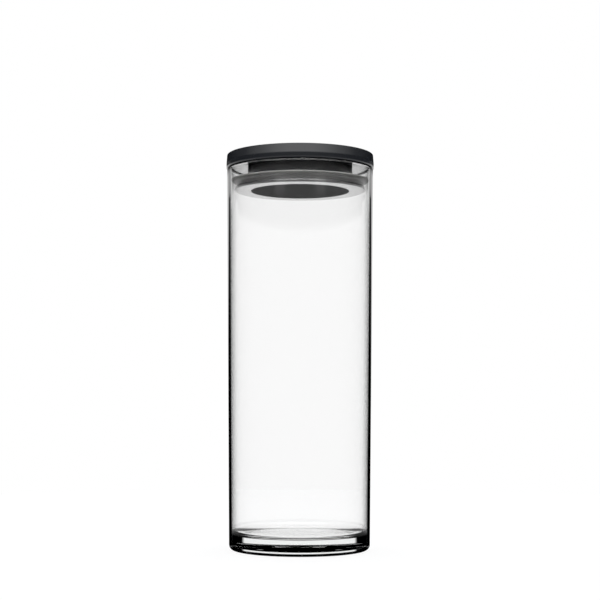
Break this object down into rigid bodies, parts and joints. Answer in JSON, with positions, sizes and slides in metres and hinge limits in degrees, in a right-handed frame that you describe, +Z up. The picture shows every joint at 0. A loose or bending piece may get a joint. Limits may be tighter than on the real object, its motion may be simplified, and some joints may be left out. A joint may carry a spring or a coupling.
{
  "type": "storage jar",
  "caption": "Tall clear glass storage jar with a slight taper, a thick base and a round dark plastic lid whose hollow plug carries a silicone wiper ring.",
  "frame": {"origin": "centre of the base, on the plane that the jar stands on", "axes": "+Z up along the jar's axis, X and Y free, because the jar is round"},
  "size_m": [0.1, 0.1, 0.2658],
  "materials": {
    "clear_glass": "clear, polished",
    "anthracite_plastic": "satin",
    "dark_silicone": "soft matt"
  },
  "bodies": {
    "jar": {"glass_jar": "clear_glass"},
    "lid": {"lid_cover": "anthracite_plastic", "lid_plug": "anthracite_plastic", "seal_ring": "dark_silicone"}
  },
  "joints": [
    {"name": "lid_lift", "type": "slide", "parent": "jar", "child": "lid", "axis": [0, 0, 1], "range_m": [0, 0.06]}
  ]
}
